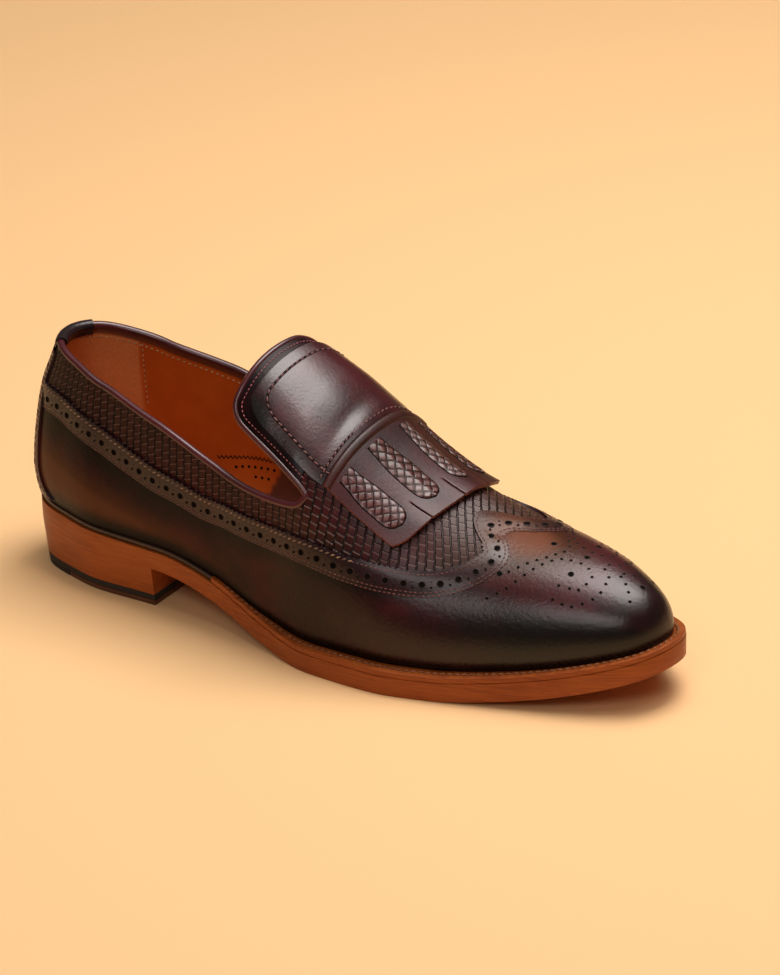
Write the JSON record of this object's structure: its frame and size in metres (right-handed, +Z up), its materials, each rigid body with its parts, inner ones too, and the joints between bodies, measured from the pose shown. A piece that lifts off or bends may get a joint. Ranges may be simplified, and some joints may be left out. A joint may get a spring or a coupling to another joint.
{
  "type": "loafer",
  "caption": "Leather dress slip-on shoe for the right foot with a long wing overlay, a high tongue with saddle and fringe, a low stacked heel and a welted leather sole",
  "frame": {"origin": "centre of the bounding box in x and y, on the floor", "axes": "+X from heel to toe, the longest extent; +Y to the inner side of the foot; +Z up"},
  "size_m": [0.3044, 0.1068, 0.1164],
  "materials": {
    "outsole": "polished orange-brown sole edge",
    "welt": "polished orange-brown, stitched on top at the forefoot",
    "heel_rand": "dark brown polished strip",
    "heel_stack": "polished stacked leather with fine level lines",
    "top_piece_rubber": "matte black rubber",
    "top_piece_leather": "plain brown leather",
    "insole": "smooth tan lining leather",
    "upper": "hand-polished burgundy and brown leather, woven pattern above the band, tan lining inside",
    "collar_piping": "smooth burgundy rolled edge",
    "wing_band": "dark polished leather with punched holes and a pinked edge",
    "heel_panel": "dark polished leather",
    "saddle": "glossy burgundy leather",
    "kiltie": "glossy burgundy leather with raw cut edges"
  },
  "bodies": {
    "root": {"outsole": "outsole", "welt": "welt", "heel_rand": "heel_rand", "heel_stack": "heel_stack", "top_piece_rubber": "top_piece_rubber", "top_piece_leather": "top_piece_leather", "insole": "insole", "upper": "upper", "collar_piping": "collar_piping", "wing_band": "wing_band", "heel_panel": "heel_panel", "saddle": "saddle", "kiltie": "kiltie"}
  },
  "joints": []
}
